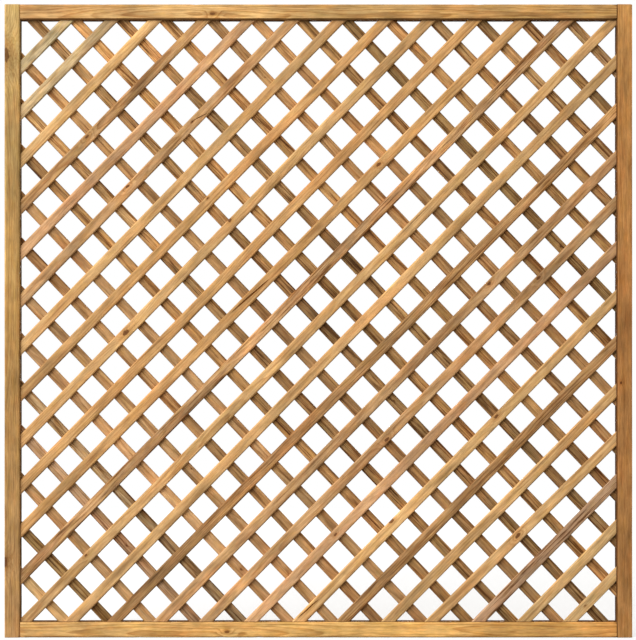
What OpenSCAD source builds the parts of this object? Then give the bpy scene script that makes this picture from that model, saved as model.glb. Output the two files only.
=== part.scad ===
// Framed garden trellis panel: two crossed layers of diagonal slats held in a grooved timber frame.
// Millimetres. The panel stands on z = 0, centred on x and y, with its front towards -y.

/* [Panel] */
// Overall width of the panel, over the two stiles
panel_width = 1785; // [900:5:2000]
// Overall height of the panel, over the two rails
panel_height = 1800; // [900:5:2000]

/* [Frame timbers] */
// Face width of the stiles and rails, seen from the front
frame_face = 45; // [36:1:80]
// Depth of the stiles and rails, from front to back
frame_depth = 36; // [34:1:80]
// Radius of the rounded long edges of the frame timbers
frame_round = 5.5; // [1:0.5:6]
// Depth of the groove in the inner faces, which holds the lattice
groove_depth = 12; // [8:0.5:16]

/* [Lattice slats] */
// Width of a slat
slat_width = 30; // [24:1:40]
// Thickness of a slat
slat_thickness = 10; // [6:0.5:12]
// Radius of the rounded long edges of a slat
slat_round = 4.5; // [0.5:0.25:4.5]
// Clear gap between neighbouring slats of one layer
slat_gap = 62.5; // [56:0.5:120]
// Slope of the front slats, which rise to the right, in degrees
front_angle = 45.65; // [38:0.05:52]
// Slope of the back slats, which fall to the right, in degrees
back_angle = 46.45; // [38:0.05:52]
// Shift of the front layer across its slats, towards the upper left
front_shift = -0.5; // [-15:0.5:15]
// Shift of the back layer across its slats, towards the upper right
back_shift = -3.5; // [-15:0.5:15]
// Least length of a slat's short edge, seen inside the frame
slat_least = 140; // [60:5:150]

/* [Staples] */
// Width of a staple over its two legs
staple_crown = 10; // [8:0.5:14]
// Wood left between the points of a staple and the front face
staple_cover = 3; // [1.5:0.5:5]
// Thickness of the staple wire
staple_wire = 1.2; // [0.8:0.1:1.6]
// Least distance from a staple to the frame
staple_margin = 6; // [3:0.5:15]

/* [Corner screws] */
// Length of a corner screw that the rail holds
screw_bite = 47; // [30:1:80]
// Diameter of a corner screw's shank
screw_shank = 5; // [4:0.5:6]
// Diameter of a corner screw's countersunk head
screw_head = 9.5; // [8:0.5:12]
// Depth of the head's top under the stile's side face
screw_sink = 0.5; // [0.2:0.1:2]
// Length of the screw's pointed tip
screw_tip = 6; // [4:0.5:10]
// Width of each blade of the cross recess in the head
recess_blade = 1.1; // [0.8:0.1:1.4]
// Length of each blade of the cross recess
recess_length = 5; // [4:0.5:6]
// Depth of the cross recess
recess_depth = 1.6; // [1:0.1:2]

/* [Clearances] */
// Play between the lattice and each wall of its groove
lattice_play = 0.25; // [0.1:0.05:0.5]
// Room for swelling between a slat's end and the bottom of its groove
slat_end_gap = 1; // [0.5:0.1:2]
// Play between a rail's tenon and each wall of the stile's groove
tenon_play = 0.1; // [0.05:0.05:0.3]
// Gap between the end of a tenon and the bottom of the stile's groove
tenon_end_gap = 0.5; // [0.2:0.1:1]
// Play round a staple's legs in the slats
staple_play = 0.05; // [0.02:0.01:0.1]
// Play round a screw in its hole
screw_play = 0.1; // [0.05:0.05:0.3]

/* [Hidden] */
$fn = 32;

// How far a cut runs past the surface that it opens
overrun = 1;

frame_colour = "#c39a5f";
front_slat_colour = "#c99b64";
back_slat_colour = "#a8794a";
steel_colour = "#aeb0b0";

// The open field inside the frame, and the lattice that reaches into the grooves round it
field_width = panel_width - 2 * frame_face;
field_height = panel_height - 2 * frame_face;
slat_seat = groove_depth - slat_end_gap;
lattice_width = field_width + 2 * slat_seat;
lattice_height = field_height + 2 * slat_seat;
lattice_thickness = 2 * slat_thickness;
middle_z = panel_height / 2;

// The groove takes both layers. What is left of a timber's face behind the groove is its web.
groove_width = lattice_thickness + 2 * lattice_play;
web = frame_face - groove_depth;
tenon_length = groove_depth - tenon_end_gap;
tenon_thickness = groove_width - 2 * tenon_play;

// Slats stand at an even pitch on both sides of a middle one, and are counted from it, upwards as
// positive. The outermost on each side is the last whose short edge, the one towards the corner of
// the field, has its least length. A slat's thickness limits how far its edges can be rounded.
slat_pitch = slat_width + slat_gap;
slat_length = lattice_width + lattice_height;
slat_round_most_share = 0.45;
slat_edge = min(slat_round, slat_round_most_share * slat_thickness);
function corner_reach(angle) = (field_width * sin(angle) + field_height * cos(angle)) / 2;
function outermost_reach(angle) =
    corner_reach(angle) - slat_least * sin(angle) * cos(angle) - slat_width / 2;
function side_count(angle, shift) = floor((outermost_reach(angle) - abs(shift)) / slat_pitch);
function steps(side) = [-side : side];
front_steps = steps(side_count(front_angle, front_shift));
back_steps = steps(side_count(back_angle, back_shift));
function front_place(step) = step * slat_pitch + front_shift;
function back_place(step) = step * slat_pitch + back_shift;

// The point where two slats cross, across the panel and up from its middle
function crossing(front, back) =
    let (spread = sin(front_angle + back_angle))
    [
        (back_place(back) * cos(front_angle) - front_place(front) * cos(back_angle)) / spread,
        (back_place(back) * sin(front_angle) + front_place(front) * sin(back_angle)) / spread
    ];

// A crossing is stapled where the whole staple lies inside the field.
staple_edge = staple_crown / 2 + staple_margin;
function is_stapled(point) =
    abs(point.x) < field_width / 2 - staple_edge && abs(point.y) < field_height / 2 - staple_edge;
leg_spacing = staple_crown - staple_wire;
staple_leg = lattice_thickness - staple_cover;

// A corner screw lies in the middle of the rail's web. Its head is a right-angled cone.
screw_height = web / 2;
screw_length = web - screw_sink + tenon_end_gap + screw_bite;
screw_cone = (screw_head - screw_shank) / 2;
screw_mouth = screw_head + 2 * screw_play;
screw_hole = screw_shank + 2 * screw_play;

// Slats are named by their step from the middle one.
function two_digits(number) = str(number < 10 ? "0" : "", number);
function step_name(step) =
    step == 0 ? "middle" : str(step > 0 ? "upper_" : "lower_", two_digits(abs(step)));
function slat_name(layer, step) = str(layer, "_slat_", step_name(step));

// A timber along x with rounded long edges, centred on the origin
module timber(length, height, depth, round) {
    rotate([0, 90, 0])
        linear_extrude(length, center = true) {
            square([height - 2 * round, depth], center = true);
            square([height, depth - 2 * round], center = true);
            for (x = [-1, 1], y = [-1, 1])
                translate([x * (height / 2 - round), y * (depth / 2 - round)])
                    circle(round);
        }
}

// Puts its children at both ends of the stiles on the given sides, on the stile's outer face and
// with their z axis into the panel
module at_corners(sides) {
    for (side = sides, level = [-1, 1])
        translate([side * panel_width / 2, 0, middle_z + level * (panel_height / 2 - screw_height)])
            rotate([0, -side * 90, 0])
                children();
}

// The space for a corner screw, with its mouth at z = 0 and its tip upwards
module screw_space() {
    translate([0, 0, -overrun])
        cylinder(screw_sink + overrun, d = screw_mouth);
    translate([0, 0, screw_sink])
        cylinder(screw_cone, d1 = screw_mouth, d2 = screw_hole);
    cylinder(screw_sink + screw_length + screw_play, d = screw_hole);
}

// One corner screw, with the top of its head sunk below z = 0 and its tip upwards
module screw() {
    translate([0, 0, screw_sink])
        difference() {
            union() {
                cylinder(screw_cone, d1 = screw_head, d2 = screw_shank);
                cylinder(screw_length - screw_tip, d = screw_shank);
                translate([0, 0, screw_length - screw_tip])
                    cylinder(screw_tip, d1 = screw_shank, d2 = 0);
            }
            for (turn = [0, 90])
                rotate(turn)
                    translate([-recess_length / 2, -recess_blade / 2, -overrun])
                        cube([recess_length, recess_blade, recess_depth + overrun]);
        }
}

// A stile, with the lattice groove down its inner face. Side is -1 on the left and 1 on the right.
module stile(side) {
    color(frame_colour)
        difference() {
            translate([side * (panel_width - frame_face) / 2, 0, middle_z])
                rotate([0, 90, 0])
                    timber(panel_height, frame_face, frame_depth, frame_round);
            translate([side * (field_width + groove_depth - overrun) / 2, 0, middle_z])
                cube([groove_depth + overrun, groove_width, panel_height + 2 * overrun], center = true);
            at_corners([side])
                screw_space();
        }
}

module left_stile() {
    stile(-1);
}

module right_stile() {
    stile(1);
}

// A rail, with the lattice groove along its inner face and a stub tenon at each end. Level is -1 at
// the bottom and 1 at the top.
module rail(level) {
    color(frame_colour)
        difference() {
            translate([0, 0, middle_z + level * (panel_height - frame_face) / 2]) {
                timber(field_width, frame_face, frame_depth, frame_round);
                cube([field_width + 2 * tenon_length, tenon_thickness, frame_face], center = true);
            }
            translate([0, 0, middle_z + level * (field_height + groove_depth - overrun) / 2])
                cube([panel_width, groove_width, groove_depth + overrun], center = true);
            at_corners([-1, 1])
                screw_space();
        }
}

module top_rail() {
    rail(1);
}

module bottom_rail() {
    rail(-1);
}

// A slat across the field, cut to the lattice's outline. Layer is -1 in front and 1 behind.
module slat(layer, angle, place) {
    intersection() {
        translate([0, layer * slat_thickness / 2, middle_z])
            rotate([0, layer * angle, 0])
                translate([0, 0, place])
                    timber(slat_length, slat_width, slat_thickness, slat_edge);
        translate([0, 0, middle_z])
            cube([lattice_width, lattice_thickness, lattice_height], center = true);
    }
}

// The two legs of the staple at a crossing, with play round them where they are a hole
module staple_legs(point, play) {
    for (side = [-1, 1])
        translate([
            point.x + side * leg_spacing / 2,
            slat_thickness - staple_leg / 2,
            middle_z + point.y
        ])
            cube([staple_wire + 2 * play, staple_leg + 2 * play, staple_wire + 2 * play], center = true);
}

module front_slat(step) {
    color(front_slat_colour)
        difference() {
            slat(-1, front_angle, front_place(step));
            for (back = back_steps)
                if (is_stapled(crossing(step, back)))
                    staple_legs(crossing(step, back), staple_play);
        }
}

module back_slat(step) {
    color(back_slat_colour)
        difference() {
            slat(1, back_angle, back_place(step));
            for (front = front_steps)
                if (is_stapled(crossing(front, step)))
                    staple_legs(crossing(front, step), staple_play);
        }
}

// Wire staples driven in from the back, with the crown flat on the back slat
module lattice_staples() {
    color(steel_colour)
        for (front = front_steps, back = back_steps)
            if (is_stapled(crossing(front, back))) {
                point = crossing(front, back);
                staple_legs(point, 0);
                translate([point.x, slat_thickness + staple_wire / 2, middle_z + point.y])
                    cube([staple_crown, staple_wire, staple_wire], center = true);
            }
}

module corner_screws() {
    color(steel_colour)
        at_corners([-1, 1])
            screw();
}

left_stile();
right_stile();
top_rail();
bottom_rail();
for (step = front_steps)
    front_slat(step);
for (step = back_steps)
    back_slat(step);
lattice_staples();
corner_screws();
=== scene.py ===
import math
import random

import bmesh
import bpy
from mathutils import Matrix, Vector, noise


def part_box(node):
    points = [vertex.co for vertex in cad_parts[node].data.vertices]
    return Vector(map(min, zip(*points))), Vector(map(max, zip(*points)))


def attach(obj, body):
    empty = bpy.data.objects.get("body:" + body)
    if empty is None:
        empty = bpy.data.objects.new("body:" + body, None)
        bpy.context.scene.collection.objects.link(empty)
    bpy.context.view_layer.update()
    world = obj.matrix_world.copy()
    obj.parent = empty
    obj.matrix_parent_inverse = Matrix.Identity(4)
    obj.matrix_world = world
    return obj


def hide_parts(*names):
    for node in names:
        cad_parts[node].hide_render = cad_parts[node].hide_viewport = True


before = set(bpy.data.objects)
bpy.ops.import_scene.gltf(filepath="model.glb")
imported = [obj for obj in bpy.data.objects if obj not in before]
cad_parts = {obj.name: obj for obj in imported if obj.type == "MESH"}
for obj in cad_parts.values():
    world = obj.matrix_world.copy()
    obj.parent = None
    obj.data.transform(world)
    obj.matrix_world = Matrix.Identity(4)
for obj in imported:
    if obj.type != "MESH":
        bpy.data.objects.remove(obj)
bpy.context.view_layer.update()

# Stiles: the two upright timbers of the frame, planed pressure-treated pine of 45 by 36 mm.
# Their long edges are rounded, a groove down the inner face takes the lattice, and near each
# end the outer face is countersunk for the screw that holds a rail.

MM = 0.001
face, deep, groove_width, groove_depth = 45, 36, 20.5, 12
edge_round, edge_segments, lip_break, end_break = 5.5, 5, 0.6, 0.8
stile_length, station = 1800, 18
screw_from_end, screw_patch = 16.5, 14
mouth_radius, mouth_sink, mouth_cuts, mouth_inset, hole_radius, hole_sink = 4.85, 0.5, 5, 1, 2.6, 2.75


class Wire:
    """A value on its way through a finish's nodes. Sums with values or numbers add Math nodes."""

    def __init__(self, tree, socket=None):
        self.tree, self.socket = tree, socket

    def node(self, kind, settings={}, sockets={}, output=0):
        """Any other node: its settings first, then the values or links of its sockets."""
        made = self.tree.nodes.new("ShaderNode" + kind)
        for name, value in settings.items():
            if name == "stops":
                while len(made.color_ramp.elements) < len(value):
                    made.color_ramp.elements.new(1)
                for stop, (place, shade) in zip(made.color_ramp.elements, value):
                    stop.position, stop.color = place, (shade, shade, shade, 1)
            else:
                setattr(made, name, value)
        for name, value in sockets.items():
            if isinstance(value, Wire):
                self.tree.links.new(value.socket, made.inputs[name])
            else:
                made.inputs[name].default_value = value
        return Wire(self.tree, made.outputs[output])

    def maths(self, operation, *values):
        return self.node("Math", {"operation": operation}, dict(enumerate(values)))

    def __add__(self, other):
        return self.maths("ADD", self, other)

    def __sub__(self, other):
        return self.maths("SUBTRACT", self, other)

    def __rsub__(self, other):
        return self.maths("SUBTRACT", other, self)

    def __mul__(self, other):
        return self.maths("MULTIPLY", self, other)

    def __truediv__(self, other):
        return self.maths("DIVIDE", self, other)

    def __pow__(self, other):
        return self.maths("POWER", self, other)

    def __abs__(self):
        return self.maths("ABSOLUTE", self)

    __radd__, __rmul__ = __add__, __mul__

    def parts(self):
        """The three parts of a vector or colour."""
        return [self.node("SeparateXYZ", {}, {0: self}, output) for output in range(3)]

    def shifted(self, by):
        return self.node("VectorMath", {"operation": "ADD"}, {0: self, 1: by})

    def tinted(self, by):
        return self.node("VectorMath", {"operation": "MULTIPLY"}, {0: self, 1: by})

    def lit(self, by):
        return self.node("VectorMath", {"operation": "SCALE"}, {0: self, "Scale": by})

    def towards(self, other, share):
        """This colour mixed with another by a share from 0 to 1."""
        return self.node("Mix", {"data_type": "RGBA"}, {0: share, 6: self, 7: other}, 2)

    def rise(self, low, high):
        """A soft step from 0 at low to 1 at high."""
        return self.node("MapRange", {"interpolation_type": "SMOOTHSTEP"},
                         {"Value": self, "From Min": low, "From Max": high})


knot_names = ("knot_a", "knot_b")
out_of_reach = 90000
no_knot = (out_of_reach, 0, 0.01)
pith_wander, branch_lean = 46, 0.2
# what the board's own shade is multiplied by in each kind of wood
late_wood, brown_streak = (0.58, 0.44, 0.31), (0.46, 0.35, 0.25)
pale_streak, dark_line = (1.25, 1.28, 1.3), (0.36, 0.27, 0.19)
red_fleck, yellow_fleck = (1.06, 0.94, 0.86), (1.0, 0.98, 0.8)
rosy_wood, dim_wood = (1.06, 0.95, 0.88), (0.88, 0.88, 0.88)
resin, knot_wood, split_shade_tint = (0.72, 0.58, 0.42), (0.24, 0.15, 0.11), (0.34, 0.19, 0.05)
rubbed, soiled_and_shaded = (1.18, 1.16, 1.12), (0.72, 0.68, 0.62)
groove_shade_tint, end_grain = (0.3, 0.25, 0.2), (0.6, 0.54, 0.47)
check_shade = (0.055, 0.028, 0.012, 1)


def treated_pine(name, half_width, half_depth, end_at=out_of_reach, grooved=False):
    """Pine: growth rings round a pith, fibres along the board, knots, drying checks and worn edges.
    It reads the board's own traits, with lengths in millimetres. It paints shade on edges, groove, lips
    and splits."""
    finish = bpy.data.materials.new(name)
    finish.use_nodes = True
    tree = finish.node_tree
    pine = Wire(tree)

    def trait(called):
        return pine.node("Attribute", {"attribute_name": called}, {}, "Vector")

    grain, tone = trait("grain"), trait("tone")
    along, depth, across = grain.parts()
    pith_depth, pith_across, ring_width = trait("pith").parts()
    latewood, streaking, mottling = trait("habit").parts()
    place = grain.shifted(trait("shift"))

    def figure(stretch, detail, rough, output=0):
        """A noise stretched by its frequency along, through and across the board."""
        return pine.node("TexNoise", {}, {"Vector": place.tinted(stretch), "Scale": 1,
                                          "Detail": detail, "Roughness": rough}, output)

    # Growth rings: distance from a pith that wanders along the board, bent round each knot
    wander_depth, wander_across, ring_pace = figure((0.0013, 0, 0), 1, 0.5, 1).parts()
    out = depth - pith_depth - (wander_depth - 0.5) * pith_wander
    up = across - pith_across - (wander_across - 0.5) * pith_wander
    radius = (out * out + up * up) ** 0.5 + (figure((0.007, 0.05, 0.05), 2, 0.5) - 0.5) * 5
    nearest = 9
    ripple = figure((0.07, 0.16, 0.16), 3, 0.6)
    for called in knot_names:
        knot_along, knot_turn, knot_size = trait(called).parts()
        branch_depth, branch_across = pine.maths("COSINE", knot_turn), pine.maths("SINE", knot_turn)
        from_depth, from_across = depth - pith_depth, across - pith_across
        side = from_depth * branch_across - from_across * branch_depth
        reach = from_depth * branch_depth + from_across * branch_across
        lift = (along - knot_along - reach * branch_lean) * 0.5
        near = (side * side + lift * lift) ** 0.5 / knot_size + (ripple - 0.5) * 1.3
        radius = radius + knot_size * 2.2 * pine.maths("EXPONENT", near * near * -0.14)
        nearest = pine.maths("MINIMUM", nearest, near)
    knot, halo = 1 - nearest.rise(0.7, 1.05), 1 - nearest.rise(0.8, 2.8)
    count = radius / ring_width + ring_pace * 2
    year, phase = pine.maths("FLOOR", count), pine.maths("FRACT", count)
    vigour = pine.node("TexWhiteNoise", {"noise_dimensions": "1D"}, {"W": year})
    late = pine.node("ValToRGB", {"stops": [(0, 0.1), (0.1, 0), (0.45, 0.12), (0.78, 0.8),
                                            (0.93, 1), (1, 0.1)]}, {0: phase})
    late = late * (vigour * 0.6 + 0.4)

    # Fibres, brown and pale streaks, thin dark lines, and patches of duller, redder and yellower wood
    fibre = figure((0.05, 0.7, 0.7), 3, 0.65)
    brown, pale, dry = figure((0.0045, 0.11, 0.11), 3, 0.6, 1).parts()
    line = figure((0.007, 0.2, 0.2), 3, 0.65).rise(0.52, 0.64)
    dull, red, yellow = figure((0.02, 0.075, 0.075), 3, 0.6, 1).parts()
    deep_part, rosy_part, dim_part = figure((0.005, 0.016, 0.016), 2, 0.5, 1).parts()
    cut_end = abs(along).rise(end_at - 0.5, end_at)
    colour = tone.towards(tone.tinted(late_wood), late * (latewood + cut_end * 0.5))
    colour = colour.towards(colour.tinted(brown_streak), brown.rise(0.5, 0.7) * streaking)
    colour = colour.towards(colour.tinted(pale_streak), pale.rise(0.48, 0.66) * streaking)
    colour = colour.towards(colour.tinted(dark_line), line * streaking * streaking * 0.8)
    colour = colour.lit(1 + (0.5 - dull) * mottling * 1.5)
    colour = colour.lit(1 + (0.5 - deep_part) * mottling * 1.9)
    colour = colour.towards(colour.tinted(red_fleck), red.rise(0.46, 0.66) * mottling)
    colour = colour.towards(colour.tinted(yellow_fleck), yellow.rise(0.46, 0.66) * mottling)
    colour = colour.towards(colour.tinted(rosy_wood), rosy_part.rise(0.48, 0.66) * mottling)
    colour = colour.towards(colour.tinted(dim_wood), dim_part.rise(0.5, 0.68) * mottling)
    colour = colour.lit(fibre * 0.8 + 0.6)

    # Knots with a resin halo, and fine checks where the surface has dried
    check = figure((0.006, 0.5, 0.5), 1, 0.5).rise(0.69, 0.75) * dry.rise(0.5, 0.62)
    colour = colour.towards(colour.tinted(resin), halo * 0.6)
    heart = pine.node("ValToRGB", {"stops": [(0, 0.3), (0.4, 0.8), (0.75, 0.45), (1, 0.15)]},
                      {0: nearest})
    colour = colour.towards(tone.tinted(knot_wood).lit(heart * 0.8 + 0.6), knot * 0.94)
    colour = colour.towards(check_shade, check * 0.7)

    # Edges rubbed pale or dirty with painted shade, painted shade in groove, lips and splits, dark end
    # grain
    rim = abs(across).rise(half_width * 0.8, half_width) * abs(depth).rise(half_depth * 0.5, half_depth)
    rub = figure((0.02, 0.05, 0.05), 3, 0.6)
    colour = colour.towards(colour.tinted(rubbed), rim * rub.rise(0.5, 0.62))
    # Dirt and painted shade: where they are not rubbed, the rounded edges are darkened.
    colour = colour.towards(colour.tinted(soiled_and_shaded), rim * (1 - rub.rise(0.36, 0.48)))
    # Painted shade: the inside of the groove and a band along its lips are darkened as shade would darken
    # them.
    if grooved:
        lip, bottom = groove_width / 2, half_width - groove_depth
        groove_shade_mask = (1 - abs(depth).rise(lip, lip + 0.6)) * across.rise(bottom - 1, bottom)
        lip_shade_share, reach, _ = trait("lip").parts()
        lip_shade_mask = across.rise(half_width - reach, half_width - reach + 1.7) * lip_shade_share
        groove_and_lip_shade = pine.maths("MAXIMUM", groove_shade_mask, lip_shade_mask)
        colour = colour.towards(colour.tinted(groove_shade_tint), groove_and_lip_shade)
    # Painted shade: the floor of each drying split is darkened as a shaded crack.
    split = trait("split").parts()[0]
    colour = colour.towards(tone.tinted(split_shade_tint), split.rise(0, 0.6) * 0.95)
    colour = colour.towards(colour.tinted(end_grain), cut_end)

    shader = tree.nodes["Principled BSDF"]
    shader.inputs["Specular IOR Level"].default_value = 0.08
    rough = 0.7 + (fibre - 0.5) * 0.3 - late * 0.1 + cut_end * 0.15
    height = late * 0.5 + fibre * 0.6 - check - knot * 0.3
    bump = pine.node("Bump", {}, {"Strength": 0.5, "Distance": 0.0005, "Height": height})
    for name, value in {"Base Color": colour, "Roughness": rough, "Normal": bump}.items():
        tree.links.new(value.socket, shader.inputs[name])
    return finish


def linear(shade):
    """A colour written as in a paint chart, in linear light."""
    parts = [int(shade[place:place + 2], 16) / 255 for place in (0, 2, 4)]
    return Vector([p / 12.92 if p <= 0.04045 else ((p + 0.055) / 1.055) ** 2.4 for p in parts])


def verts_of(made):
    """The points that an operator made."""
    return [part for part in made["geom"] if isinstance(part, bmesh.types.BMVert)]


def face_of(parts):
    """The one face among the parts that an operator made."""
    return next(part for part in parts if isinstance(part, bmesh.types.BMFace))


def middle_face(faces):
    """The face that lies nearest the middle of the board's depth."""
    return min(faces, key=lambda part: abs(part.calc_center_median().y))


def saw(shape, where, facing, faces=None, drop=False):
    """Cuts a shape along a plane. With drop, what lies beyond goes, and the cut is closed."""
    faces = faces or shape.faces[:]
    parts = {part for cut in faces for part in (cut, *cut.edges, *cut.verts)}
    made = bmesh.ops.bisect_plane(shape, geom=list(parts), dist=0.001, plane_co=where,
                                  plane_no=facing, clear_outer=drop)
    if drop:
        rim = [part for part in made["geom_cut"] if isinstance(part, bmesh.types.BMEdge)]
        bmesh.ops.edgeloop_fill(shape, edges=rim)


def long_edges(shape, least):
    """Edges that run along the board."""
    return [edge for edge in shape.edges if abs(edge.verts[0].co.x - edge.verts[1].co.x) > least]


def soften(shape, edges, offset, segments):
    """Rounds edges over, or breaks them with one segment."""
    bmesh.ops.bevel(shape, geom=edges, offset=offset, offset_type="OFFSET", segments=segments,
                    profile=0.5, affect="EDGES", material=-1)


def grooved_timber(length):
    """A planed bar along x, in millimetres, with its groove towards +z."""
    shape = bmesh.new()
    half, front, lip, bottom = face / 2, deep / 2, groove_width / 2, face / 2 - groove_depth
    outline = [(-front, -half), (front, -half), (front, half), (lip, half), (lip, bottom),
               (-lip, bottom), (-lip, half), (-front, half)]
    end = shape.faces.new([shape.verts.new((-length / 2, y, z)) for y, z in outline])
    swept = bmesh.ops.extrude_face_region(shape, geom=[end])
    bmesh.ops.translate(shape, vec=(length, 0, 0), verts=verts_of(swept))
    bmesh.ops.recalc_face_normals(shape, faces=shape.faces[:])
    outer = [e for e in long_edges(shape, length / 2) if abs(abs(e.verts[0].co.y) - front) < 0.1]
    soften(shape, outer, edge_round, edge_segments)
    lips = [e for e in long_edges(shape, length / 2)
            if abs(abs(e.verts[0].co.y) - lip) < 0.1 and e.verts[0].co.z > half - 0.1]
    soften(shape, lips, lip_break, 1)
    return shape


def mark_grain(shape):
    """Every point of a board keeps its place in it: along, through and across."""
    layer = shape.verts.layers.float_vector.new("grain")
    for vert in shape.verts:
        vert[layer] = vert.co


def mark(shape, **traits):
    """Gives a whole board the traits that its finish reads."""
    for called, value in traits.items():
        layer = shape.verts.layers.float_vector.new(called)
        for vert in shape.verts:
            vert[layer] = value


def tint(shape, half_length, first, middle, last):
    """A board's shade changes along it: at one end, in the middle and at the other end."""
    layer = shape.verts.layers.float_vector.new("tone")
    for vert in shape.verts:
        share = vert.co.x / half_length
        vert[layer] = middle.lerp(last, share) if share > 0 else middle.lerp(first, -share)


def knot_at(pith, spot, size):
    """A branch from the pith that comes out at a spot of the board: along, through and across."""
    if size == 0:
        return no_knot
    depth, across = spot[1] - pith[0], spot[2] - pith[1]
    return spot[0] - branch_lean * math.hypot(depth, across), math.atan2(across, depth), size


bend_length, bulge_length, knock_length, knock_least = 260, 70, 26, 0.22


def wear(shape, seed, half_width, half_depth, rounding, sway, dents):
    """A board cut from a log is never quite straight or of one width, and its edges get knocked."""
    rounding += 0.1
    for vert in shape.verts:
        x, y, z = vert.co
        side, front = math.copysign(1, z), math.copysign(1, y)
        bend = noise.noise((x / bend_length, seed, 3.3))
        bulge = noise.noise((x / bulge_length, seed, 7.1 * side))
        vert.co.z += sway * bend + 0.4 * sway * side * bulge
        if abs(z) > half_width - rounding and abs(y) > half_depth - rounding:
            knock = noise.noise((x / knock_length, seed + 11 * side, 5 * front)) - knock_least
            if knock > 0:
                vert.co.z -= side * knock * dents
                vert.co.y -= front * knock * dents


def fit_in(name, shape, finish, slot, *nodes):
    """Makes a finished shape, in millimetres, a piece that stands for its nodes."""
    bmesh.ops.scale(shape, vec=(MM, MM, MM), verts=shape.verts[:])
    mesh = bpy.data.meshes.new(name)
    shape.to_mesh(mesh)
    shape.free()
    mesh.materials.append(finish)
    piece = bpy.data.objects.new(name, mesh)
    bpy.context.scene.collection.objects.link(piece)
    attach(piece, "root")
    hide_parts(*nodes)


def smooth_rounds(shape):
    """Rounded edges shade smoothly, planed faces stay flat."""
    for part in shape.faces:
        part.smooth = max(abs(x) for x in part.normal) < 0.995


def countersink(shape, along):
    """The mouth of a screw hole in the outer face of a stile."""
    half, low = screw_patch / 2, -face / 2
    for x in (along - half, along + half):
        saw(shape, (x, 0, 0), (1, 0, 0))

    def patch():
        return [f for f in shape.faces
                if f.normal.z < -0.9 and abs(f.calc_center_median().x - along) < 1]

    for y in (-half, half):
        saw(shape, (0, y, 0), (0, 1, 0), patch())
    bmesh.ops.subdivide_edges(shape, edges=middle_face(patch()).edges[:], cuts=mouth_cuts)
    square = middle_face(patch())
    bmesh.ops.inset_individual(shape, faces=[square], thickness=mouth_inset)
    for radius, sink in ((mouth_radius, 0), (mouth_radius, mouth_sink), (hole_radius, hole_sink)):
        if sink:
            made = bmesh.ops.extrude_face_region(shape, geom=[square])
            bmesh.ops.delete(shape, geom=[square], context="FACES_ONLY")
            square = face_of(made["geom"])
        for vert in square.verts:
            turn = math.atan2(vert.co.y, vert.co.x - along)
            vert.co = along + radius * math.cos(turn), radius * math.sin(turn), low + sink


frame_finish = treated_pine("frame_timber", face / 2, deep / 2, stile_length / 2, grooved=True)
timber_sway, timber_dents = 0.25, 2.4
clear_spot = ((0, -deep / 2, 0), 0)


def set_timber(name, node, timber, length, seed, shift, habit, turn, tones, lip, pith, rings, *knots):
    """Marks and wears a frame timber, and turns it into its place in the frame."""
    mark_grain(timber)
    tint(timber, length / 2, *map(linear, tones.split()))
    # The lip trait sets how dark the painted shade along the groove's lips is, and how far it reaches.
    mark(timber, shift=shift, pith=(*pith, rings), lip=(*lip, 0), split=(0, 0, 0), habit=habit,
         **{called: knot_at(pith, *knot) for called, knot in zip(knot_names, knots)})
    smooth_rounds(timber)
    wear(timber, seed, face / 2, deep / 2, edge_round, timber_sway, timber_dents)
    low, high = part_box(node)
    bmesh.ops.rotate(timber, matrix=Matrix.Rotation(math.radians(turn), 3, "Y"), verts=timber.verts[:])
    bmesh.ops.translate(timber, vec=(low + high) / 2 / MM, verts=timber.verts[:])
    fit_in(name, timber, frame_finish, "frame_timber", node)


stile_habit = (0.6, 0.45, 0.6)
stiles = {
    # turn about y, shades along it, painted shade at the groove's lip and its reach, pith, ring width,
    # two knots
    "left": (90, "b89a63 ad864f b48b5b", (0.2, 2.4), (-52, -31), 4.2,
             ((-757, -18, -20), 13), ((684, -18, -21), 8)),
    "right": (-90, "b8854f a07040 ba884f", (1, 3.8), (38, 66), 3.4, ((-176, -18, 10), 2.5), clear_spot),
}
for seed, (side, traits) in enumerate(stiles.items()):
    stile = grooved_timber(stile_length)
    ends = [e for e in stile.edges if all(abs(abs(v.co.x) - stile_length / 2) < 0.1 for v in e.verts)]
    soften(stile, ends, end_break, 1)
    for along in (screw_from_end - stile_length / 2, stile_length / 2 - screw_from_end):
        countersink(stile, along)
    straight = long_edges(stile, stile_length / 2)
    bmesh.ops.subdivide_edges(stile, edges=straight, cuts=stile_length // station, use_grid_fill=True)
    set_timber("stile_" + side, side + "_stile", stile, stile_length, 40 + seed,
               (700 * seed, 90 * seed, 40), stile_habit, *traits)

# Rails: the two level timbers, of the same planed pine as the stiles and grooved like them.
# A stub tenon at each end fills the stile's groove, and a screw through the stile holds it.

rail_length, tenon_length, tenon_half = 1695, 11.5, 10.15


def end_faces(shape, end):
    """The faces at one end of a bar, -1 or 1."""
    return [part for part in shape.faces if part.normal.x * end > 0.9]


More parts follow.
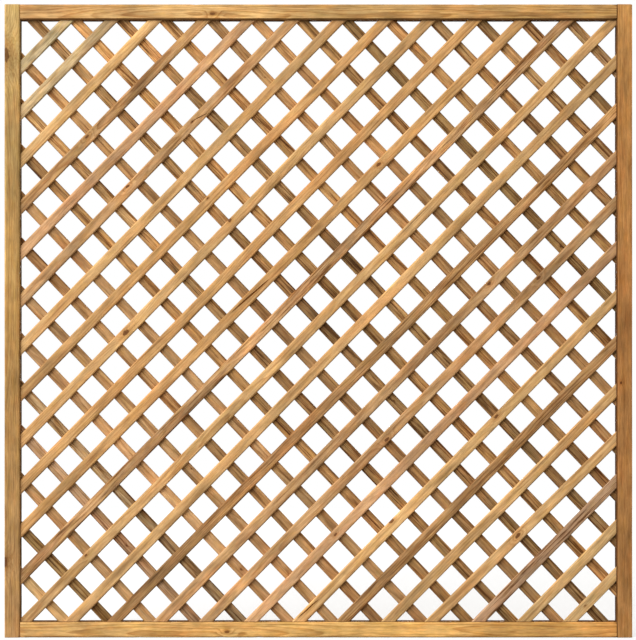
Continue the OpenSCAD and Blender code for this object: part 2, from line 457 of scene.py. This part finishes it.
rail_habit = (0.9, 0.5, 0.65)
rails = {
    # turn about y, shades along it, painted shade at the groove's lip and its reach, pith, ring width,
    # two knots
    "top": (180, "bf945b caa36a c59d68", (1, 6.2), (-44, 12), 3.8, ((300, -18, 5), 4), clear_spot),
    "bottom": (0, "e6b674 e7b971 d5a05c", (1, 2), (-50, -6), 4.4, ((-260, -18, -6), 4), clear_spot),
}
for seed, (level, traits) in enumerate(rails.items()):
    rail = grooved_timber(rail_length)
    straight = long_edges(rail, rail_length / 2)
    bmesh.ops.subdivide_edges(rail, edges=straight, cuts=rail_length // station, use_grid_fill=True)
    for end in (-1, 1):
        for y in (-tenon_half, tenon_half):
            saw(rail, (0, y, 0), (0, 1, 0), end_faces(rail, end))
        cap = middle_face(end_faces(rail, end))
        tenon = bmesh.ops.extrude_face_region(rail, geom=[cap])
        bmesh.ops.delete(rail, geom=[cap], context="FACES_ONLY")
        bmesh.ops.translate(rail, vec=(end * tenon_length, 0, 0), verts=verts_of(tenon))
    set_timber("rail_" + level, level + "_rail", rail, rail_length, 60 + seed,
               (900 + 700 * seed, 50 * seed, 140), rail_habit, *traits)

# Front slats: thin planed laths of the same treated pine, which rise to the right.
# They are cut to the lattice's outline and sit in the frame's groove without glue. Each lath comes
# from another board, so their shades differ. Most lie a little off their mark, and three have split.

slat_width, slat_thickness, slat_round, slat_segments, slat_pitch = 30, 10, 4.5, 4, 92.5
slat_sway, slat_dents = 0.35, 1.2
steps = range(-12, 13)
lattice_width, lattice_height, panel_middle = 1717, 1732, 900
shades = {
    # shade, and how strong its late wood, its streaks and its patches are
    "moss": ("b9a47e", 0.6, 0.6, 1.3), "sage": ("c0a57b", 0.5, 0.7, 0.7),
    "straw": ("d6b07a", 0.5, 0.5, 0.6), "gold": ("d8ad75", 0.5, 0.5, 0.6),
    "honey": ("cba26e", 0.6, 0.5, 0.6), "amber": ("c79a65", 0.6, 0.5, 0.6),
    "rose": ("c99d72", 0.4, 0.4, 0.7), "fawn": ("c0976a", 0.6, 0.6, 0.7),
    "ash": ("c09c7a", 0.9, 1.15, 0.7), "hazel": ("bd9569", 0.9, 1.05, 0.9),
    "nut": ("b48d61", 0.8, 0.7, 0.8), "dune": ("b08d6a", 0.9, 0.9, 0.8),
    "walnut": ("b0885b", 0.9, 0.9, 0.7), "umber": ("ac8455", 0.9, 1.1, 0.8),
    "drift": ("a48762", 1, 1.2, 0.9), "bark": ("a48156", 1, 1.25, 0.9), "peat": ("98794e", 1, 1.3, 0.8),
}
front_angle, front_shift = 45.65, -0.5
front_shades = """straw straw ash honey honey walnut gold rose fawn fawn walnut honey honey
    hazel amber amber honey amber honey fawn rose nut gold sage moss""".split()
# how a board's shade runs along it: at its left end, in its middle and at its right end
even, waning, waxing = (1, 1, 1), (1.25, 0.95, 0.8), (0.8, 1.05, 1.2)
dark_middle, dull_middle, pale_middle = (1.25, 0.82, 1.2), (1, 0.8, 1), (1, 1.14, 0.9)
front_runs = {"lower_06": waning, "lower_05": waning, "lower_04": waning, "lower_03": waning,
              "upper_06": waning, "lower_02": waxing, "lower_01": pale_middle, "upper_01": pale_middle}
# Painted light: each front slat's left end is made lighter and its right end darker by this share, as
# light from the left falls off.
front_light_falloff = 0.02
# how far each slat lies off its mark, in millimetres, and how many degrees askew, from the lowest up
front_stray = [0, 1.5, 0.5, -2.5, -3, -1, -3.5, 1, 0.5, -1, 0.5, 0, -2,
               1, 1, 0.5, 0, -1.5, -0.5, 1, 1, -0.5, 3, 2.5, 0]
front_skew = [0, 0, -0.13, -0.92, -0.31, -0.11, 0, -0.04, -0.04, -0.15, -0.14, 0.13, -0.08,
              -0.09, -0.12, 0.14, 0.25, 0.09, 0.17, 0.27, 0, 0, 0.79, 0, 0]
splits = {
    # width, and places along and across the slat
    "upper_02": (5.4, [(-160, 7.8), (-146, 7), (-125, 5.9), (-100, 4.2), (-75, 2.1), (-48, 0.4),
                       (-25, -1), (-10, -2.2)]),
    "upper_07": (2.4, [(153, 5), (162, 3.5), (176, 0), (190, -4.6), (200, -8.4), (206, -10.3)]),
    "lower_06": (4.2, [(-648, 10), (-634, 9), (-614, 7.4), (-590, 6.4), (-572, 5), (-562, 4)]),
}
split_depth, split_floor = 3, 0.55


def step_name(step):
    """A slat's name, counted from the middle of the panel."""
    return "middle" if step == 0 else ("upper" if step > 0 else "lower") + f"_{abs(step):02d}"


def lath(layer, angle, place):
    """A level slat, a little longer than its place needs. Layer is -1 in front and 1 behind."""
    rise, run = math.sin(math.radians(angle)), math.cos(math.radians(angle))
    sides = [(x - layer * place * rise) / run for x in (-lattice_width / 2, lattice_width / 2)]
    levels = sorted((place * run - z) / (layer * rise) for z in (-lattice_height / 2, lattice_height / 2))
    start, end = max(sides[0], levels[0]) - slat_width, min(sides[1], levels[1]) + slat_width
    shape = bmesh.new()
    bmesh.ops.create_cube(shape, size=1)
    bmesh.ops.scale(shape, vec=(end - start, slat_thickness, slat_width), verts=shape.verts[:])
    bmesh.ops.translate(shape, vec=((start + end) / 2, 0, 0), verts=shape.verts[:])
    soften(shape, long_edges(shape, slat_width * 2), slat_round, slat_segments)
    straight, cuts = long_edges(shape, slat_width * 2), int((end - start) / station)
    bmesh.ops.subdivide_edges(shape, edges=straight, cuts=cuts, use_grid_fill=True)
    mark_grain(shape)
    mark(shape, split=(0, 0, 0))
    smooth_rounds(shape)
    return shape


def hang(shape, layer, angle, place):
    """Turns and moves a slat to its place, and cuts its ends to the lattice's outline."""
    turn = Matrix.Rotation(math.radians(layer * angle), 4, "Y") @ Matrix.Translation((0, 0, place))
    middle = Vector((0, layer * slat_thickness / 2, panel_middle))
    bmesh.ops.transform(shape, matrix=Matrix.Translation(middle) @ turn, verts=shape.verts[:])
    for side in (-1, 1):
        saw(shape, (side * lattice_width / 2, 0, 0), (side, 0, 0), drop=True)
        saw(shape, (0, 0, panel_middle + side * lattice_height / 2), (0, 0, side), drop=True)


def open_split(shape, split_width, split_path):
    """A drying split: a crack with steep sides in the front face, which tapers to both ends."""
    first, last = split_path[0][0], split_path[-1][0]
    crack = [(x, z, split_width / 2 * math.sin(math.pi * (x - first) / (last - first)) ** 0.5)
             for x, z in split_path]

    def front(x0, x1):
        return [f for f in shape.faces if f.normal.y < -0.9 and x0 < f.calc_center_median().x < x1]

    for x, _, _ in crack:
        saw(shape, (x, 0, 0), (1, 0, 0), front(x - station, x + station))
    reaches = list(zip(crack, crack[1:]))
    for (x0, z0, gape0), (x1, z1, gape1) in reaches:
        for side in (-1, -split_floor, split_floor, 1):
            from_z, to_z = z0 + side * gape0, z1 + side * gape1
            saw(shape, (x0, 0, from_z), Vector((from_z - to_z, 0, x1 - x0)).normalized(), front(x0, x1))
    # The points sunk into the split are marked for its painted shade.
    crack_shade_layer = shape.verts.layers.float_vector["split"]
    for vert in shape.verts:
        x, y, z = vert.co
        if y > -slat_thickness / 2 + 0.1 or not first < x < last:
            continue
        (x0, z0, gape0), (x1, z1, gape1) = next(reach for reach in reaches if x <= reach[1][0])
        share = (x - x0) / (x1 - x0)
        gape = gape0 + (gape1 - gape0) * share
        if abs(z - z0 - (z1 - z0) * share) < gape * (1 + split_floor) / 2:
            vert.co.y += split_depth * gape / split_width * 2
            vert[crack_shade_layer] = (1, 0, 0)


dice = random.Random(11)
pin_knots, pin_along, pin_across = (0, 0, 0, 1.5, 2), 700, 9
pith_near, pith_far, ring_least, ring_most, log_length = 30, 100, 2.6, 4.6, 4000


def pith_of_lath(flat_sawn):
    """A lath is cut anywhere in the log: the pith's place beside it, and the width of a ring."""
    turn, away = dice.uniform(0, 2 * math.pi), dice.uniform(pith_near, pith_far)
    if flat_sawn:
        turn = math.pi * round(turn / math.pi) + 0.35 * math.sin(turn)
    return away * math.cos(turn), away * math.sin(turn), dice.uniform(ring_least, ring_most)


def hang_slats(layer_name, layer, slope, shift, words, runs, strays, skews, light_falloff, knots, finish, slot):
    """Makes one layer of the lattice, from its lowest slat up."""
    for step, word, stray, skew in zip(steps, words, strays, skews):
        called = step_name(step)
        place, angle = step * slat_pitch + shift + stray, slope - layer * skew
        shape = lath(layer, angle, place)
        pith = pith_of_lath(called in knots)
        shade, *habit = shades[word]
        spot = dice.uniform(-pin_along, pin_along), 0, dice.uniform(-pin_across, pin_across)
        drawn = spot, dice.choice(pin_knots)
        marks = [*knots.get(called, [drawn]), clear_spot][:2]
        shift_by = [dice.uniform(0, log_length) for axis in range(3)]
        tone = linear(shade)
        first, middle, last = runs.get(called, even)
        # Painted light: the board's left end is lightened and its right end darkened by the painted light
        # fall-off share.
        tint(shape, lattice_width / 2, tone * first * (1 + light_falloff), tone * middle, tone * last * (1 - light_falloff))
        mark(shape, shift=shift_by, pith=pith, habit=habit,
             **{name: knot_at(pith, *knot) for name, knot in zip(knot_names, marks)})
        if layer < 0 and called in splits:
            open_split(shape, *splits[called])
        wear(shape, 17 * layer + step, slat_width / 2, slat_thickness / 2, slat_round,
             slat_sway, slat_dents)
        hang(shape, layer, angle, place)
        fit_in(f"slat_{layer_name}_{called}", shape, finish, slot, f"{layer_name}_slat_{called}")


front_finish = treated_pine("front_slat_wood", slat_width / 2, slat_thickness / 2)
front_knots = {
    # place along, through and across the slat, and size
    "lower_09": [((-27, -5, 2), 5)], "lower_06": [((-262, -5, 13), 5), ((160, -5, 6), 4)],
    "lower_05": [((-400, -5, 2), 3)], "lower_04": [((-105, -5, -5), 5), ((525, -5, 8), 4)],
    "lower_03": [((416, -5, 6), 4)], "middle": [((-939, -5, 8), 3)], "upper_02": [((438, -5, 4), 4)],
    "upper_04": [((30, -5, 10), 3.5), ((-406, -5, 1), 6)],
    "upper_07": [((-103, -5, 8), 4), ((157, -5, 4), 2.5)], "upper_09": [((-86, -5, 6), 4)],
}
hang_slats("front", -1, front_angle, front_shift, front_shades, front_runs, front_stray, front_skew,
           front_light_falloff, front_knots, front_finish, "front_slat_wood")

# Back slats: laths like the front ones, laid across them and falling to the right.
# They lie flat against the front layer in the same groove, and their shades are darker than the front
# ones.

back_angle, back_shift = 46.45, -3.5
back_shades = """straw peat nut dune drift fawn nut walnut nut umber bark walnut bark
    umber bark umber walnut walnut umber peat umber bark bark bark drift""".split()
back_runs = {"upper_06": dark_middle, "upper_05": dark_middle, "upper_01": dark_middle,
             "lower_02": dark_middle, "middle": dull_middle, "lower_01": dull_middle, "upper_02": waning,
             "lower_08": waning, "upper_03": pale_middle, "lower_04": waxing, "lower_07": waxing}
# Painted light: each back slat's left end is made lighter and its right end darker by this share, as
# light from the left falls off.
back_light_falloff = 0.09
back_stray = [0, -1, -2.5, -1.5, -3.5, -0.5, -1.5, 0, -0.5, 0, -1.5, -2, 2.5,
              -1.5, 2, -0.5, 2, 2, 3.5, 3, 2, 2, 2.5, -1, 0]
back_skew = [0, 0, -1, -0.84, -0.22, 0, -0.06, -0.15, -0.07, 0, 0.09, 0.13, -0.11,
             0.02, -0.02, 0.04, -0.09, 0.04, 0.03, -0.04, 0.38, 0.39, 0.31, 0, 0]
back_knots = {"lower_07": [((362, -5, 4), 3)]}
back_finish = treated_pine("back_slat_wood", slat_width / 2, slat_thickness / 2)
hang_slats("back", 1, back_angle, back_shift, back_shades, back_runs, back_stray, back_skew,
           back_light_falloff, back_knots, back_finish, "back_slat_wood")

# Staples: bent from square galvanised wire, one driven in from the back at each crossing.
# The crown lies flat on the back slat, and the two legs hold the front slat.

crown, wire, bend, leg, pressed_in, staple_turn = 10, 1.2, 0.4, 17, 0.02, 7
field_width, field_height, staple_edge = 1695, 1710, 11
dull_zinc, bright_zinc, rust_shade = (0.2, 0.21, 0.22, 1), (0.37, 0.38, 0.39, 1), (0.16, 0.07, 0.03, 1)


def zinc(name, rust_share):
    """Zinc on steel: a dull spangle, fine draw marks, and a little rust."""
    finish = bpy.data.materials.new(name)
    finish.use_nodes = True
    tree = finish.node_tree
    metal = Wire(tree)
    place = metal.node("TexCoord", {}, {}, "Object")

    def figure(scale, detail):
        return metal.node("TexNoise", {}, {"Vector": place, "Scale": scale, "Detail": detail})

    spangle, fine, rust = figure(420, 2), figure(2600, 2), figure(90, 4).rise(0.6, 0.75) * rust_share
    plate = metal.node("Mix", {"data_type": "RGBA"},
                       {0: spangle.rise(0.35, 0.65), 6: dull_zinc, 7: bright_zinc}, 2)
    colour = plate.lit(fine * 0.4 + 0.8).towards(rust_shade, rust)
    bump = metal.node("Bump", {}, {"Strength": 0.3, "Distance": 0.0001, "Height": fine + spangle})
    shader = tree.nodes["Principled BSDF"]
    for socket, value in {"Base Color": colour, "Metallic": 1 - rust * 0.9,
                          "Roughness": spangle * 0.25 + 0.38 + rust * 0.4, "Normal": bump}.items():
        tree.links.new(value.socket, shader.inputs[socket])
    return finish


def bent_staple():
    """One staple about the middle of its crown, with its legs towards -y."""
    shape = bmesh.new()
    half, low, high = crown / 2 - wire, -wire / 2, wire / 2
    corners = [(-crown / 2, low), (-crown / 2 + wire, low), (-crown / 2 + wire, high), (-crown / 2, high)]
    section = shape.faces.new([shape.verts.new((x, -leg, z)) for x, z in corners])

    def carry_on(kind, **how):
        """Takes the wire further, straight or round a bend."""
        nonlocal section
        if kind == "straight":
            made = bmesh.ops.extrude_face_region(shape, geom=[section])
            bmesh.ops.translate(shape, vec=how["by"], verts=verts_of(made))
            ahead = face_of(made["geom"])
            if how.get("inner"):
                bmesh.ops.delete(shape, geom=[section], context="FACES_ONLY")
        else:
            made = bmesh.ops.spin(shape, geom=[section], cent=how["about"], axis=(0, 0, 1),
                                  angle=-math.pi / 2, steps=3)
            ahead = face_of(made["geom_last"])
            bmesh.ops.delete(shape, geom=[section], context="FACES_ONLY")
        section = ahead

    carry_on("straight", by=(0, leg - bend, 0))
    carry_on("bend", about=(-half + bend, -bend, 0))
    carry_on("straight", by=(2 * half - 2 * bend, 0, 0), inner=True)
    carry_on("bend", about=(half - bend, -bend, 0))
    carry_on("straight", by=(0, bend - leg, 0), inner=True)
    bmesh.ops.remove_doubles(shape, verts=shape.verts[:], dist=0.001)
    bmesh.ops.recalc_face_normals(shape, faces=shape.faces[:])
    return shape


one_staple = bpy.data.meshes.new("one_staple")
bent = bent_staple()
bent.to_mesh(one_staple)
bent.free()
staples = bmesh.new()
front_turn, back_turn = math.radians(front_angle), math.radians(back_angle)
spread = math.sin(front_turn + back_turn)
for front in steps:
    for back in steps:
        over, under = front * slat_pitch + front_shift, back * slat_pitch + back_shift
        x = (under * math.cos(front_turn) - over * math.cos(back_turn)) / spread
        z = (under * math.sin(front_turn) + over * math.sin(back_turn)) / spread
        if abs(x) < field_width / 2 - staple_edge and abs(z) < field_height / 2 - staple_edge:
            before = len(staples.verts)
            staples.from_mesh(one_staple)
            staples.verts.ensure_lookup_table()
            turn = Matrix.Rotation(math.radians(dice.uniform(-staple_turn, staple_turn)), 4, "Y")
            put = Matrix.Translation((x, slat_thickness + wire - pressed_in, panel_middle + z)) @ turn
            bmesh.ops.transform(staples, matrix=put, verts=staples.verts[before:])
bpy.data.meshes.remove(one_staple)
fit_in("staples", staples, zinc("staple_zinc", 0.5), "zinc_steel", "lattice_staples")

# Corner screws: zinc-plated countersunk screws with a cross recess, two in each stile.
# They go through the stile into the end of the rail, with their heads just below the surface.

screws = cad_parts["corner_screws"]
screws.data.materials.clear()
screws.data.materials.append(zinc("screw_zinc", 0.25))

# Studio: a plain pale floor, white all round, a very large soft lamp high on the left in front,
# a small one straight behind for the panel's back, and a strip at each side for its edges. The warm
# light all round fills the shadows, and the lamps are a little cool, so that the wood keeps its hue.

floor_size, floor_glow, floor_shade, floor_bounce = 7, 0.6, 0.36, 0.15
room_light, room_tint, lamp_tint, aim = 0.53, (1, 0.93, 0.8), (0.9, 0.94, 1), (0, 0, 0.9)
lamps = {
    # place, size and power
    "key": ((-6.8, -7, 6.1), (11, 11), 1920), "rear": ((0.4, 8, 1.4), (2, 2), 560),
    "left_strip": ((-4, 0, 0.9), (0.06, 1.6), 60), "right_strip": ((4, 0, 0.9), (0.06, 1.6), 60),
}


def camera_like(tree):
    """1 for what the camera sees, directly or in metal."""
    seen, in_metal, through_glass = (Wire(tree).node("LightPath", {}, {}, f"Is {kind} Ray")
                                     for kind in ("Camera", "Glossy", "Transmission"))
    return seen + in_metal + through_glass


floor_shape = bmesh.new()
bmesh.ops.create_grid(floor_shape, x_segments=1, y_segments=1, size=floor_size / 2)
floor_mesh = bpy.data.meshes.new("floor")
floor_shape.to_mesh(floor_mesh)
floor_shape.free()
floor = bpy.data.objects.new("floor", floor_mesh)
bpy.context.scene.collection.objects.link(floor)
floor_finish = bpy.data.materials.new("floor_white")
floor_finish.use_nodes = True
tree = floor_finish.node_tree
paper = Wire(tree)
glow = paper.node("Emission", {}, {"Color": (1, 1, 1, 1), "Strength": floor_glow})
pale = paper.node("BsdfDiffuse", {}, {"Color": (floor_shade, floor_shade, floor_shade, 1)})
plain = paper.node("BsdfDiffuse", {}, {"Color": (floor_bounce, floor_bounce, floor_bounce, 1)})
shown = paper.node("AddShader", {}, {0: glow, 1: pale})
sheet = paper.node("MixShader", {}, {0: camera_like(tree), 1: plain, 2: shown})
tree.links.new(sheet.socket, tree.nodes["Material Output"].inputs["Surface"])
floor_mesh.materials.append(floor_finish)

scene = bpy.context.scene
scene.world = bpy.data.worlds.new("studio")
scene.world.use_nodes = True
tree = scene.world.node_tree
room = Wire(tree)
around = Wire(tree, tree.nodes["Background"].outputs[0])
tree.nodes["Background"].inputs["Color"].default_value = (*room_tint, 1)
tree.nodes["Background"].inputs["Strength"].default_value = room_light
backdrop = room.node("Background", {}, {"Color": (1, 1, 1, 1), "Strength": 1})
white_room = room.node("MixShader", {}, {0: camera_like(tree), 1: around, 2: backdrop})
tree.links.new(white_room.socket, tree.nodes["World Output"].inputs["Surface"])

for called, (stand, size, power) in lamps.items():
    lamp = bpy.data.lights.new(called, "AREA")
    lamp.shape, lamp.size, lamp.size_y, lamp.energy = "RECTANGLE", *size, power
    lamp.color = lamp_tint
    light = bpy.data.objects.new(called, lamp)
    light.location = stand
    light.rotation_euler = (Vector(aim) - Vector(stand)).to_track_quat("-Z", "Y").to_euler()
    light.visible_camera = False
    scene.collection.objects.link(light)
scene.view_settings.view_transform = "Standard"

# Camera: level with the middle of the panel and straight in front of it, as in the photo,
# with a lens that shows the frame's front face at the photo's scale.

front_of_frame, camera_distance, camera_side, camera_height = -0.018, 5.2, -0.0011, 0.9026
pixels_per_metre, picture_height, sensor = 352, 640, 36
lens = bpy.data.cameras.new("camera")
lens.sensor_width = sensor
lens.lens = sensor * pixels_per_metre * camera_distance / picture_height
camera = bpy.data.objects.new("camera", lens)
camera.location = (camera_side, front_of_frame - camera_distance, camera_height)
camera.rotation_euler = (math.pi / 2, 0, 0)
scene.collection.objects.link(camera)
scene.camera = camera
